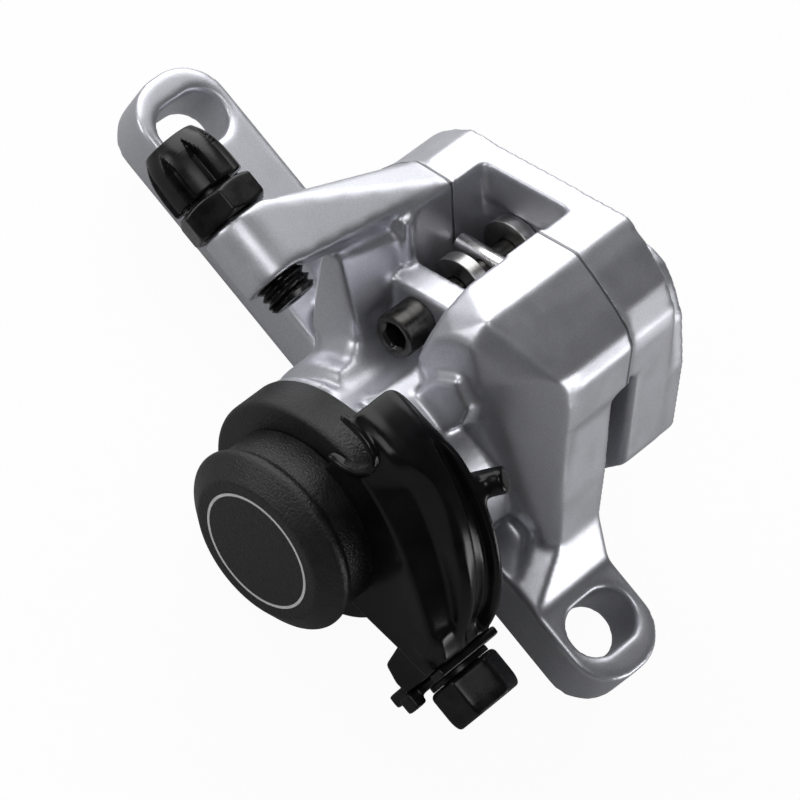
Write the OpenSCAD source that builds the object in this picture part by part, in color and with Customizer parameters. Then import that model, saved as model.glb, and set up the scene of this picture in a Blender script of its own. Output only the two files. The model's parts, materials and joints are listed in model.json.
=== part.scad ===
// Cable-operated disc brake caliper for a bicycle, post-mount, for a 160 mm rotor.
// The origin lies midway between the two post bolts, on the face that meets the frame.
// X runs along the two ears, Y points inboard along the pad axis, Z is the bolt axis.

/* [Mounting ears] */
// Spacing of the two post bolts
post_spacing = 74.2; // [73.6:0.1:74.8]
// Width of the clear slot for a post bolt, along X
slot_w = 6.6; // [6.3:0.1:7.2]
// Length of the slot, along Y
slot_len = 9.6; // [8.4:0.1:10.2]
// Thickness of the ear plate
ear_t = 7.3; // [6.2:0.1:8.4]
// Width of the ear plate, along Y
ear_w = 12.8; // [12.4:0.1:13.6]
// Material outside each slot
ear_end = 3.6; // [3:0.1:4.4]

/* [Rotor and pads] */
// Middle plane of the rotor
rotor_y = 8.2; // [8.1:0.05:8.4]
// Thickness of the rotor that runs between the pads
rotor_t = 1.8; // [1.6:0.1:2]
// Free play between the rotor and each lining
pad_play = 0.3; // [0.2:0.05:0.5]
// Clear slot in the body for the rotor
rotor_slot = 3.5; // [3.3:0.1:3.9]
// Thickness of a friction lining
lining_t = 2.2; // [1.8:0.1:2.6]
// Thickness of a pad backing plate
plate_t = 1.8; // [1.6:0.1:2]
// Width of a friction lining
lining_w = 20; // [18:0.5:21]
// Height of a friction lining
lining_h = 14; // [12:0.5:15]
// Play between a pad and the pocket it slides in
pocket_play = 0.3; // [0.2:0.05:0.5]

/* [Actuator] */
// Pad axis, along the ears from the origin
axis_x = 6.8; // [6.4:0.1:7.2]
// Pad axis, above the mounting face
axis_z = 8.9; // [8.5:0.1:9.3]
// Radius of the cylindrical housing
barrel_r = 14; // [13.6:0.1:14.4]
// Outboard end of the housing
barrel_y = -17.2; // [-17.6:0.1:-17]
// Radius of the bore that holds the ball ramp
cavity_r = 11.5; // [11.2:0.1:11.8]
// Radius of the plunger
plunger_r = 8; // [7.6:0.1:8.4]
// Radius of the spindle
spindle_r = 4; // [3.6:0.1:4.4]
// Radius of a ramp ball
ball_r = 1.6; // [1.4:0.05:1.7]
// Radius of the circle on which the balls sit
ball_pitch = 7.4; // [7:0.1:7.8]
// Running clearance of a shaft in its hole
fit = 0.05; // [0.03:0.01:0.08]

/* [Dust cover and cap] */
// Outer radius of the dust cover
cover_r = 14.2; // [13.9:0.1:14.5]
// Length of the dust cover
cover_len = 5; // [4.8:0.1:5.2]
// Radius of the neck of the cap
neck_r = 10.9; // [10.4:0.1:11.2]
// Radius of the rim of the cap
cap_r = 11.6; // [11.3:0.1:12]
// Radius of the flat face of the cap
cap_face_r = 9; // [8.4:0.1:9.4]
// Middle radius of the pale ring on the face
cap_ring_r = 7.35; // [6.6:0.05:7.6]
// Outboard face of the cap
cap_y = -30.5; // [-31:0.1:-30.2]

/* [Lever arm] */
// Outboard face of the arm plate
arm_y = -23.3; // [-23.5:0.1:-23.2]
// Thickness of the pressed arm wall
arm_wall = 1; // [0.9:0.05:1.2]
// Radius of the rim over the cable entry
rim_r = 20.7; // [20.4:0.1:21]
// How much the rim radius grows towards the clamp
rim_growth = 2.3; // [2:0.1:2.6]
// Depth of the cable groove in the rim
groove_depth = 1.5; // [1.2:0.1:1.7]
// Radius of the cable
cable_r = 0.9; // [0.8:0.1:1.1]
// Middle plane of the cable
cable_y = -17; // [-17.2:0.1:-16.8]
// Where the sheltered rim begins, from the X axis
arm_start_deg = 102; // [98:1:104]
// Where the rim ends, beside the clamp
arm_end_deg = 4; // [2:1:8]

/* [Cable clamp] */
// Distance of the clamp face from the pivot
clamp_x = 22.8; // [22.4:0.1:23.2]
// Drop of the clamp bolt below the pivot
clamp_drop = 4.6; // [4.2:0.1:5]
// Across flats of the clamp bolt head
clamp_af = 8; // [7.5:0.5:8.5]
// Thickness of the clamp bolt head
clamp_head = 5.2; // [4.8:0.1:5.6]
// Radius of the clamp bolt thread
clamp_thread_r = 2.5; // [2.2:0.1:2.6]

/* [Pad axle] */
// Distance of the pad axle from the pad axis
axle_up = 16.7; // [16.4:0.1:17]
// Radius of the pad axle shank
axle_r = 1.5; // [1.4:0.05:1.6]
// Radius of the socket head
axle_head_r = 2.7; // [2.5:0.1:2.8]
// Length of the socket head
axle_head = 4.2; // [3.8:0.1:4.4]
// Outboard face of the wall that the axle screws into
axle_seat_y = -3.5; // [-3.6:0.1:-3.2]

/* [Barrel adjuster] */
// Outer end of the adjuster boss, along X
boss_x = -22.4; // [-22.8:0.1:-22]
// Length of the adjuster boss
boss_len = 8.2; // [7.8:0.1:8.6]
// Height of the adjuster axis
barrel_z = 27; // [26.6:0.1:27.4]
// Radius of the adjuster thread
thread_r = 3; // [2.9:0.05:3.1]
// Radius of the cable housing socket
socket_r = 2.6; // [2.5:0.05:2.7]
// Radius of the cable hole
cable_hole_r = 0.9; // [0.8:0.05:1.1]
// Radius of the fluted grip
grip_r = 4.6; // [4.2:0.1:5]
// Across flats of the lock nut
nut_af = 9; // [8:0.5:10]
// Thickness of the lock nut
nut_t = 3.4; // [3:0.1:3.6]
// Radius of the boss for the adjuster
boss_r = 4.1; // [3.9:0.1:4.4]

/* [Inboard adjuster] */
// Radius of the adjuster screw
adjuster_r = 5.5; // [5:0.1:6]
// Outboard face of the inboard wall around the adjuster
inner_face_y = 19.4; // [19:0.1:19.6]

/* [Hidden] */
$fn = 64;
eps = 0.02;
// Lean of the bridge and of the pads about the Y axis
lean = 34;
pad_lean = 31.8;
slot_low = rotor_y - rotor_slot / 2;
outer_face = rotor_y - rotor_t / 2 - pad_play;
inner_face = rotor_y + rotor_t / 2 + pad_play;
outer_back = outer_face - lining_t - plate_t;
inner_back = inner_face + lining_t + plate_t;
pocket_low = outer_back - 0.15;
pocket_high = inner_back + 0.15;
window_low = axle_seat_y + 4.2;
axle_y = axle_seat_y - axle_head;
step_y = -3;
plunger_seal_y = -0.4;
// Axial play between neighbouring pieces of the ball ramp
play = 0.05;
retainer_t = 1;
ramp_t = 2.9;
ramp_in = barrel_y + 0.2 + retainer_t + ramp_t;
ramp_gap = 2;
track_deg = 15;
ball_y = ramp_in + ramp_gap / 2;
flange_y = ramp_in + ramp_gap;
flange_t = 2.8;
washer_t = 0.9;
washer_y = flange_y + flange_t + play;
head_y = washer_y + washer_t + play;
head_t = 1.6;
cover_y = barrel_y - cover_len;
cover_hole_r = spindle_r + 2.3;
cap_back = cover_y - 0.15;
arm_back = arm_y + arm_wall;
grip_len = 7.2;
grip_end = nut_t + 0.6 + grip_len;
socket_len = 8;
stud_r = spindle_r - 1;
nut_h = 2.4;
arm_washer_t = 0.8;
clip_t = 0.6;
clamp_grip = 6.2;
// Reach of the clamp plate above the bolt axis
clamp_end = 6.4;
clamp_plate_t = 1.1;
clamp_washer_t = 0.7;
// Turn of the bolt head on its thread as it is shown
clamp_turn = 8.6;
clip_y = inner_face_y + 0.25;
seal_r = 0.43;
adjuster_seal_y = inner_face_y - 2;
tab_w = 7.8;
pocket_top = lining_h / 2 + 1.6;

// Places children on the pad axis
module at_axis() { translate([axis_x, 0, axis_z]) children(); }
// A plate between two values of Y, from an outline in X and Z
module plate_y(y0, y1) {
  translate([0, y1, 0]) rotate([90, 0, 0]) linear_extrude(y1 - y0) children();
}
// A solid of revolution about the pad axis, from an outline in radius and Y
module turned_y() { rotate([-90, 0, 0]) rotate_extrude() children(); }
// A straight round bar along Y
module bar_y(y0, y1, r) { translate([0, y0, 0]) rotate([-90, 0, 0]) cylinder(h = y1 - y0, r = r); }
// A hexagonal bar along Y
module hex_y(y0, y1, af) {
  translate([0, y0, 0]) rotate([-90, 0, 0]) cylinder(h = y1 - y0, r = af / sqrt(3), $fn = 6);
}
// The frame of the bridge: its X axis runs along the bridge, its Z axis points away from the hub
module bridge_frame() { rotate([0, -lean, 0]) children(); }
// The frame of the pads, centred on the pad axis
module pad_frame() { at_axis() rotate([0, -pad_lean, 0]) children(); }

// Body
module ear_outline() {
  half = post_spacing / 2 + slot_w / 2 + ear_end;
  r = 5.6;
  hull() for (sx = [-1, 1], sy = [-1, 1])
    translate([sx * (half - r), sy * (ear_w / 2 - r)]) circle(r, $fn = 48);
}
module ear_slots() {
  for (sx = [-1, 1]) translate([sx * post_spacing / 2, 0, -1]) {
    for (sy = [-1, 1]) translate([0, sy * (slot_len - slot_w) / 2, 0])
      cylinder(h = ear_t + 2, d = slot_w);
    translate([-slot_w / 2, -(slot_len - slot_w) / 2, 0])
      cube([slot_w, slot_len - slot_w, ear_t + 2]);
  }
}
outboard_outline = [[-24, 0], [-20.5, 12], [-18.1, 21], [-17.4, 23.3], [-15.7, 26.4], [-11.7, 28.6],
  [4, 38.9], [7.7, 38.5], [11.2, 37.9], [14, 37.1], [15.8, 35.6], [18.6, 29.8], [18.9, 27.8],
  [24, 18.6], [28.9, 8.8], [31.6, 0]];
inboard_outline = [[-12, 2], [-18.6, 12], [-18, 21], [-17, 23.5], [-15.4, 26.2], [-11.5, 28.5], [4, 38.7],
  [7, 38.4], [12, 37], [15.2, 34.6], [16.2, 33.2], [24.9, 16.2], [23, 9], [18, 0], [6, -5.6], [-2, -4]];
shoulder_outline = [[-10, 12], [-6, 24], [4, 31], [7.7, 34.4], [10.3, 34.7], [12.7, 33.5], [16.1, 30.8],
  [20.2, 25], [24.9, 15.5], [22.6, 8], [18, 0], [6, -5.4], [-5, 0]];
module outboard_half() {
  plate_y(-1, rotor_y) polygon(outboard_outline);
  // rounded mass on the outboard side, from the end of the bridge down to the ear
  hull() {
    plate_y(-1.4, -1) polygon([[3, 20], [-0.9, 35.6], [4, 38.9], [14, 37.1], [18.2, 30], [18.6, 28],
      [24, 18.4], [27, 10], [14, 8]]);
    plate_y(-2.4, -2.2) polygon([[4, 30], [4, 38.9], [15.4, 35.6], [16.8, 33.4], [18, 29], [14, 20]]);
    plate_y(-3.8, -3.6) polygon([[-0.9, 35.6], [4, 38.9], [10.3, 38], [13.8, 37], [15.4, 31], [15, 18],
      [8, 16]]);
    plate_y(-7.1, -6.9) polygon([[1.4, 22.4], [0.4, 28.9], [-0.2, 33.3], [4, 38.6], [5.4, 38], [10.4, 34.4],
      [13, 28], [9, 22]]);
    plate_y(-8.9, -8.7) polygon([[1.8, 26], [1.1, 30.6], [2.4, 34.2], [5, 36], [8.6, 32], [9.6, 27.4],
      [6, 24]]);
  }
  // wall that carries the pad axle, and the saddle down to the housing
  bridge_frame() translate([0, axle_seat_y, 6]) cube([17, 4.6, 18]);
  hull() {
    plate_y(axle_seat_y, -1) polygon([[-12, 8], [-12, 20], [-2, 20], [10, 24], [14, 12]]);
    plate_y(-11, -10.6) polygon([[-6, 12], [-4, 18.4], [2, 21.6], [9, 22], [12, 12]]);
  }
  // foot that widens onto the ear
  hull() {
    translate([28, -ear_w / 2, 0]) cube([4, ear_w, ear_t]);
    plate_y(-1, slot_low + 0.6) polygon([[24, 0], [24, 11], [27.6, 11.4], [28.9, 8.8], [31.6, 0]]);
  }
}
module inboard_half() {
  plate_y(rotor_y, 16.4) polygon(inboard_outline);
  plate_y(10, inner_face_y) polygon(shoulder_outline);
}
module stop_arm() {
  // twisted shelf from the bridge to the adjuster boss
  hull() {
    plate_y(4, 8) polygon([[-17.2, 22], [-16.2, 26], [-11.8, 28.5], [-11.2, 25]]);
    translate([boss_x, cable_y, barrel_z + 1]) cube([boss_len, 0.9, boss_r - 1]);
  }
  barrel_frame() rotate([0, 90, 0]) cylinder(h = boss_len, r = boss_r);
  // web under the shelf
  hull() {
    plate_y(-9.6, -9.2) polygon([[-14.6, 27.4], [-12, 27.2], [-2.6, 18.4], [-5, 14], [-9, 14]]);
    plate_y(-1, -0.6) polygon([[-16.6, 26], [-10, 26.4], [-5.4, 20], [-8, 8], [-14, 8]]);
  }
}
// The frame of the adjuster, whose X axis is the cable line, from the outer end of the boss
module barrel_frame() { translate([boss_x, cable_y, barrel_z]) children(); }
module housing() {
  // depth of the ring groove, as a share of the wall
  d = 0.44 * (barrel_r - cavity_r);
  at_axis() turned_y() polygon([[0, barrel_y], [barrel_r, barrel_y], [barrel_r, barrel_y + 1.5],
    [barrel_r - d, barrel_y + 1.9], [barrel_r - d, barrel_y + 2.9], [barrel_r, barrel_y + 3.5],
    [barrel_r, 1], [0, 1]]);
}
module stop_lug() {
  at_axis() plate_y(-10, -3) polygon([[-2.2, 18.6], [-0.2, 21.8], [3.2, 20], [3.9, 17], [2.8, 12],
    [-2.5, 12]]);
}
module pad_pocket() {
  w = lining_w / 2 + 1 + pocket_play;
  depth = pocket_high - pocket_low;
  pad_frame() translate([-w, pocket_low, -26]) cube([2 * w, depth, 26 + pocket_top]);
  // way up into the window for the tab of each pad
  pad_frame() translate([-tab_w / 2 - pocket_play, pocket_low, 0])
    cube([tab_w + 2 * pocket_play, depth, axle_up + tab_w / 2 + pocket_play]);
}
module window() {
  bridge_frame() {
    translate([6.6, window_low, 14]) cube([12.6, 13 - window_low, 30]);
    plate_y(-30, 2) polygon([[7.4, 24], [16.8, 24], [18.5, 27.8], [19.3, 30], [19.3, 44], [7.4, 44]]);
  }
}
module body_cuts() {
  ear_slots();
  // gap for the rotor, open towards the hub and at both ends
  pad_frame() translate([-60, slot_low, -60]) cube([120, rotor_slot, 60 + 11.5]);
  pad_pocket();
  window();
  at_axis() bar_y(barrel_y - 1, step_y, cavity_r);
  at_axis() bar_y(step_y - 1, 6, plunger_r + fit);
  at_axis() turned_y() translate([plunger_r + 0.5, plunger_seal_y]) circle(0.75, $fn = 32);
  at_axis() bar_y(12, inner_face_y + 1, adjuster_r + fit);
  pad_axle_place() bar_y(-20, axle_seat_y, axle_head_r + 1.3);
  pad_frame() translate([-4, -20, axle_up]) cube([8, 20 + axle_seat_y, 12]);
  pad_axle_place() bar_y(-5, inner_face_y + 1, axle_r + 0.02);
  barrel_frame() translate([-1, 0, 0]) rotate([0, 90, 0]) cylinder(h = boss_len + 2, r = thread_r + fit);
}
module caliper_body() {
  color("silver") difference() {
    union() {
      linear_extrude(ear_t) ear_outline();
      outboard_half();
      inboard_half();
      housing();
      stop_arm();
      stop_lug();
    }
    body_cuts();
  }
}

// Actuator
module dust_cover() {
  r = cover_r;
  wall = 1.3;
  color([0.13, 0.13, 0.14]) at_axis() turned_y() polygon([[cover_hole_r, cover_y], [r - 0.9, cover_y],
    [r, cover_y + 0.5], [r, barrel_y], [r - wall, barrel_y], [r - wall, cover_y + wall],
    [cover_hole_r, cover_y + wall]]);
}
module ball_ring() { for (a = [0, 120, 240]) rotate([0, a, 0]) translate([ball_pitch, 0, 0]) children(); }
// Curved tracks in which the balls roll
module ball_tracks() {
  r = ball_r + fit;
  rotate([0, -track_deg, 0]) ball_ring() translate([-ball_pitch, 0, 0])
    turned_arc() translate([ball_pitch, 0]) circle(r);
  for (e = [-track_deg, track_deg]) rotate([0, e, 0]) ball_ring() sphere(r);
}
module turned_arc() { rotate([-90, 0, 0]) rotate_extrude(angle = 2 * track_deg) children(); }
module fixed_ramp() {
  color("dimgray") at_axis() difference() {
    bar_y(ramp_in - ramp_t, ramp_in, cavity_r - 0.02);
    bar_y(ramp_in - ramp_t - 1, ramp_in + 1, spindle_r + fit);
    translate([0, ball_y, 0]) ball_tracks();
  }
}
module ramp_retainer() {
  color("gray") at_axis() difference() {
    bar_y(ramp_in - ramp_t - retainer_t, ramp_in - ramp_t, cavity_r - 0.02);
    bar_y(ramp_in - ramp_t - 2 * retainer_t, ramp_in, cavity_r - 2.2);
  }
}
module ball_cage() {
  color("goldenrod") at_axis() difference() {
    bar_y(ball_y - 0.4, ball_y + 0.4, ball_pitch + 2.6);
    bar_y(ball_y - 1, ball_y + 1, spindle_r + fit);
    translate([0, ball_y, 0]) ball_ring() bar_y(-1, 1, ball_r + fit);
  }
}
module ramp_balls() { color("lightgray") at_axis() translate([0, ball_y, 0]) ball_ring() sphere(ball_r); }
module ramp_spindle() {
  color("gray") at_axis() difference() {
    union() {
      bar_y(flange_y, flange_y + flange_t, cavity_r - 0.6);
      bar_y(arm_back + 0.4, flange_y + eps, spindle_r);
      bar_y(arm_y - arm_washer_t - nut_h + 0.4, arm_back + 0.5, stud_r);
    }
    translate([0, ball_y, 0]) ball_tracks();
  }
}
module spindle_seal() {
  color("black") at_axis() difference() {
    bar_y(cover_y + 0.15, cover_y + 1.25, cover_hole_r - fit);
    bar_y(cover_y - 1, cover_y + 2, spindle_r + fit);
  }
}
module thrust_washer() {
  color("gainsboro") at_axis() difference() {
    bar_y(washer_y, washer_y + washer_t, plunger_r + 1);
    bar_y(washer_y - 1, washer_y + washer_t + 1, 3);
  }
}
module plunger() {
  color("slategray") at_axis() {
    bar_y(head_y, head_y + head_t, plunger_r + 1.4);
    bar_y(head_y + head_t - eps, outer_back - 0.02, plunger_r);
  }
}
module plunger_seal() {
  color("black") at_axis() turned_y() translate([plunger_r + 0.6, plunger_seal_y]) circle(0.55, $fn = 24);
}
module return_spring() {
  r0 = plunger_r + 0.9;
  color("lightgray") at_axis() difference() {
    bar_y(head_y + head_t + 0.1, step_y - 0.02, r0 + 1.4);
    bar_y(head_y, step_y + 1, r0);
  }
}

// Lever arm
function span_at(a) = (a - arm_end_deg) / (arm_start_deg - arm_end_deg);
function rim_at(a) = rim_r + rim_growth * (1 - pow(span_at(a), 1.5));
function ridge_at(a) = min(rim_at(a) - 2.2, cover_r + 1.2 + 0.7 * pow(max(0, 87 - a) / 42, 3.6));
// The hood over the cable entry fades into the dished face over this arc
function hood_at(a) = let (t = min(1, max(0, (a - 70) / 16))) t * t * (3 - 2 * t);
// Front edge of the cable groove, which winds forward from under the hood to the clamp
function groove_at(a) = cable_y + max(-1.9, 0.7 - 0.045 * max(0, 71 - a));
// The front edge of the rim sets back towards the hood over this arc
function edge_at(a) = let (t = min(1, max(0, (a - 42) / 26))) t * t * (3 - 2 * t);
function arm_section(a) =
  let (r = rim_at(a), h = hood_at(a), f = ridge_at(a), d = (1 - 0.94 * h) * groove_depth, g = groove_at(a),
    e = (1 - h) * edge_at(a))
  [[f - 1.6, arm_back], [f - 1.8, arm_y + 0.1], [f, arm_y], [f + 0.5, arm_y + 0.3],
   [h * (r - 0.9) + (1 - h) * (0.6 * f + 0.4 * r), arm_y + 1.3 + (1 - h) * 1.5],
   [h * (r - 0.3) + (1 - h) * (r - 1.2) + e * 0.5, cable_y - 4 + (1 - h) * 0.6 + e],
   [r - 0.4 + e * 0.2, cable_y - 2.5 + e * 0.4], [r - 0.2 - 0.2 * d, g - 0.4], [r - 0.2 - d, g],
   [r - 0.2 - d, cable_y + 1.2], [r - 0.1 - 0.1 * d, cable_y + 1.6],
   [r, cable_y + 2.4], [r - 1.2, cable_y + 2.6], [r - 2.6, cable_y + 2.4], [r - 2.8, cable_y - 1.8],
   [h * (r - 2.9) + (1 - h) * (0.5 * f + 0.5 * r - 1), arm_back + 1.2 + (1 - h) * 1.4]];
module arm_rim() {
  n = 24;
  m = 16;
  angles = [for (i = [0:n]) arm_start_deg + (arm_end_deg - arm_start_deg) * i / n];
  pts = [for (a = angles) for (q = arm_section(a)) [q[0] * cos(a), q[1], q[0] * sin(a)]];
  sides = [for (i = [0:n - 1], j = [0:m - 1]) let (k = (j + 1) % m)
    each [[i * m + j, i * m + k, (i + 1) * m + k], [i * m + j, (i + 1) * m + k, (i + 1) * m + j]]];
  end = [[0, 1, 2], [0, 2, 3], [0, 3, 15], [15, 3, 4], [15, 4, 5], [15, 5, 14], [14, 5, 6], [14, 6, 7],
    [14, 7, 8], [14, 8, 13], [13, 8, 9], [13, 9, 10], [13, 10, 11], [13, 11, 12]];
  near = [for (t = end) [t[2], t[1], t[0]]];
  far = [for (t = end) [for (k = t) n * m + k]];
  polyhedron(pts, concat(near, sides, far));
}
module arm_plate_outline() {
  difference() {
    union() {
      circle(cover_r + 0.9);
      polygon([[11.5, -3.4], [18.3, -1.8], [20.3, -1.6], [clamp_x, -1], [clamp_x, 1.5], [20.7, 1.5],
        [20.4, 3.6], [19.2, 5.5], [16.8, 7.5], [14.3, 9.4], [11.7, 11.1], [10, 8]]);
    }
    polygon([[-30, -30], [30, -30], [18.3, -1.8], [11.5, -3.4], [-2.2, -3.4], [-2.2, 30], [-30, 30]]);
  }
  circle(spindle_r + 2.8);
}
module arm() {
  color([0.04, 0.04, 0.05]) at_axis() difference() {
    union() {
      arm_rim();
      plate_y(arm_y, arm_back) arm_plate_outline();
      // end that holds the clamp bolt
      hull() {
        plate_y(arm_back - 0.3, -20) polygon([[17.9, -2.6], [18.6, -7.3], [21, -8.2], [clamp_x, -7.8],
          [clamp_x, 3.4], [20.4, 6]]);
        plate_y(-15, -14.15) polygon([[19, -4], [19.4, -8], [21, -8.2], [clamp_x, -7.8], [clamp_x, 1.6],
          [20.4, 2]]);
      }
      // stop nub on the inboard edge of the rim
      rotate([0, -60, 0]) translate([19.4, -14, 0]) rotate([0, 90, 31]) cylinder(h = 4.3, r = 1.6);
      bar_y(arm_back - eps, cover_y + 0.1, cover_hole_r - 0.1);
    }
    bar_y(arm_y - 1, cover_y + 1, stud_r + fit);
    translate([clamp_x - clamp_grip, cable_y, -clamp_drop]) rotate([0, 90, 0])
      cylinder(h = clamp_grip + 3, r = clamp_thread_r + fit);
    // flat seat of the clamp plate
    translate([clamp_x, arm_y - 1, -20]) cube([6, 12, 20 + clamp_end - clamp_drop + play]);
    // way in for the cable, under the hood
    translate([-9, cable_y, rim_r - 2.6]) rotate([0, 90, 0]) cylinder(h = 10.5, r = cable_r + 0.2);
    notch();
  }
}
// Open mouth in the face of the hood
module notch() {
  r = 3.1;
  translate([-1.6, 0, rim_r - 4.8]) {
    bar_y(arm_y - 1, cable_y - 1.4, r);
    translate([-6, arm_y - 1, -r]) cube([6, cable_y - arm_y - 0.4, 2 * r]);
    // front edge of the hood, set back
    translate([-6, arm_y - 1, -r]) cube([8.4, 3, 10]);
  }
}
module arm_washer() {
  color("gray") at_axis() difference() {
    bar_y(arm_y - arm_washer_t, arm_y, spindle_r + 2);
    bar_y(arm_y - 2, arm_y + 1, stud_r + fit);
  }
}
module arm_nut() {
  color("gray") at_axis() difference() {
    hex_y(arm_y - arm_washer_t - nut_h, arm_y - arm_washer_t, 2 * spindle_r + 2);
    bar_y(arm_y - 4, arm_y, stud_r + fit);
  }
}
module cap() {
  color([0.1, 0.1, 0.11]) at_axis() difference() {
    turned_y() polygon([[0, cap_y], [cap_face_r, cap_y], [cap_r, cap_y + 1.9], [cap_r, cap_y + 2.8],
      [neck_r, cap_y + 3.5], [neck_r, cap_back], [neck_r - 1.2, cap_back], [neck_r - 1.2, cap_y + 1.6],
      [0, cap_y + 1.6]]);
    turned_y() translate([cap_ring_r - 0.18, cap_y - 0.1]) square([0.36, 0.2]);
    // clearance for the arm plate under the neck
    plate_y(arm_y - play, cap_back + 1) translate([-2.3, -3.5]) square([16, 18]);
  }
}

// Cable clamp, in the frame of the arm
module clamp_frame() { at_axis() translate([clamp_x, cable_y, -clamp_drop]) rotate([0, 90, 0]) children(); }
module clamp_plate() {
  t = clamp_plate_t;
  color("dimgray") clamp_frame() difference() {
    union() {
      translate([-clamp_end, -4.4, 0]) cube([clamp_end + 3.8, 7.8, t]);
      // lug on the outboard edge, and the lip that guides the end of the cable
      translate([-clamp_end, -6, 0]) cube([2.6, 2, t]);
      translate([3.6, -5.2, -t]) cube([4, 2.6, t + 0.6]);
      translate([2.4, -6, 0]) cube([2.6, 1.7, t + 0.9]);
    }
    translate([0, 0, -1]) cylinder(h = 4, r = clamp_thread_r + 0.2);
  }
}
module clamp_washer() {
  color("silver") clamp_frame() translate([0, 0, clamp_plate_t]) difference() {
    cylinder(h = clamp_washer_t, r = clamp_af / 2);
    translate([0, 0, -1]) cylinder(h = 4, r = clamp_thread_r + 0.2);
  }
}
module clamp_bolt() {
  seat = clamp_plate_t + clamp_washer_t;
  color([0.1, 0.1, 0.11]) clamp_frame() {
    difference() {
      translate([0, 0, seat]) rotate([0, 0, -clamp_turn]) intersection() {
        cylinder(h = clamp_head, r = clamp_af / sqrt(3), $fn = 6);
        cylinder(h = clamp_head, r1 = clamp_af / sqrt(3) + 2, r2 = clamp_af / sqrt(3) - 0.8);
      }
      translate([0, 0, seat + clamp_head - 3]) rotate([0, 0, -clamp_turn])
        cylinder(h = 4, r = clamp_af / 2 / sqrt(3), $fn = 6);
    }
    translate([0, 0, 0.2 - clamp_grip]) cylinder(h = clamp_grip + seat, r = clamp_thread_r);
  }
}

// Pads
module pad_outline() {
  difference() {
    union() {
      translate([-lining_w / 2 - 0.8, -lining_h / 2 - 1]) square([lining_w + 1.6, lining_h + 2]);
      translate([-tab_w / 2, 0]) square([tab_w, axle_up]);
      translate([0, axle_up]) circle(tab_w / 2);
    }
    translate([0, axle_up]) circle(axle_r + 0.08);
  }
}
module lining_outline() {
  offset(1.5, $fn = 24) square([lining_w - 3, lining_h - 3], center = true);
}
module outer_pad_plate() {
  color("darkgray") pad_frame() plate_y(outer_back, outer_back + plate_t) pad_outline();
}
module outer_lining() {
  color([0.16, 0.15, 0.14]) pad_frame() plate_y(outer_face - lining_t, outer_face) lining_outline();
}
module inner_pad_plate() {
  color("darkgray") pad_frame() plate_y(inner_back - plate_t, inner_back) pad_outline();
}
module inner_lining() {
  color([0.16, 0.15, 0.14]) pad_frame() plate_y(inner_face, inner_face + lining_t) lining_outline();
}
module pad_spring() {
  // bent strip whose fold runs across the window and whose legs press the pads apart
  t = 0.3;
  w = 9.7;
  r = 1.25;
  top = axle_up + 1;
  foot_z = axle_up - 4;
  leg = rotor_y - outer_back - plate_t - 0.15;
  color("whitesmoke") pad_frame() difference() {
    translate([-4.3, rotor_y, 0]) rotate([90, 0, 90]) linear_extrude(w) difference() {
      union() {
        translate([0, top]) circle(r, $fn = 32);
        polygon([[-r, top], [-leg, foot_z], [leg, foot_z], [r, top]]);
      }
      translate([0, top]) circle(r - t, $fn = 32);
      polygon([[t - r, top + eps], [t - leg, foot_z - 1], [leg - t, foot_z - 1], [r - t, top + eps]]);
    }
    translate([0, 0, axle_up]) bar_y(0, rotor_y * 2, axle_r + 0.12);
  }
}
module pad_axle_place() { pad_frame() translate([0, 0, axle_up]) children(); }
module pad_axle() {
  color([0.3, 0.3, 0.31]) pad_axle_place() difference() {
    union() {
      turned_y() polygon([[0, axle_y], [axle_head_r - 0.3, axle_y], [axle_head_r, axle_y + 0.3],
        [axle_head_r, axle_y + axle_head], [0, axle_y + axle_head]]);
      bar_y(axle_y + axle_head - eps, clip_y + clip_t + 0.6, axle_r);
    }
    hex_y(axle_y - 1, axle_y + 2.4, 3);
    // groove for the clip
    difference() {
      bar_y(clip_y - 0.02, clip_y + clip_t + 0.02, axle_r + 1);
      bar_y(clip_y - 1, clip_y + 2, axle_r - 0.4);
    }
  }
}
module axle_clip() {
  color("silver") pad_axle_place() difference() {
    bar_y(clip_y, clip_y + clip_t, axle_r + 1.2);
    bar_y(clip_y - 1, clip_y + 2, axle_r - 0.38);
  }
}
module inner_adjuster() {
  color([0.12, 0.12, 0.13]) at_axis() difference() {
    union() {
      bar_y(inner_back + 0.02, inner_face_y + 0.1, adjuster_r);
      bar_y(inner_face_y + 0.1, inner_face_y + 2, adjuster_r + 1.4);
    }
    hex_y(inner_face_y + 0.4, inner_face_y + 3, 5);
    // groove for the sealing ring
    difference() {
      bar_y(adjuster_seal_y - seal_r - 0.1, adjuster_seal_y + seal_r + 0.1, adjuster_r + 1);
      bar_y(adjuster_seal_y - 2, adjuster_seal_y + 2, adjuster_r - 0.9);
    }
  }
}
module adjuster_ring() {
  color("black") at_axis() turned_y() translate([adjuster_r - 0.45, adjuster_seal_y])
    circle(seal_r, $fn = 24);
}

// Barrel adjuster
module barrel_adjuster() {
  color([0.06, 0.06, 0.07]) barrel_frame() rotate([0, 90, 0]) difference() {
    union() {
      translate([0, 0, -4]) cylinder(h = boss_len + 6.8, r = thread_r);
      translate([0, 0, -grip_end]) rotate_extrude() polygon([[0, 0], [grip_r - 1.3, 0], [grip_r - 0.4, 0.5],
        [grip_r, 1.5], [grip_r, grip_len - 0.8], [grip_r - 0.5, grip_len], [0, grip_len]]);
    }
    translate([0, 0, -grip_end - 1]) cylinder(h = socket_len + 1, r = socket_r);
    translate([0, 0, -grip_end - 1]) cylinder(h = 40, r = cable_hole_r);
  }
}
module barrel_lock_nut() {
  color([0.08, 0.08, 0.09]) barrel_frame() rotate([0, 90, 0]) translate([0, 0, -nut_t - 0.05]) difference() {
    cylinder(h = nut_t, r = nut_af / sqrt(3), $fn = 6);
    translate([0, 0, -1]) cylinder(h = nut_t + 2, r = thread_r + fit);
  }
}

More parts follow.
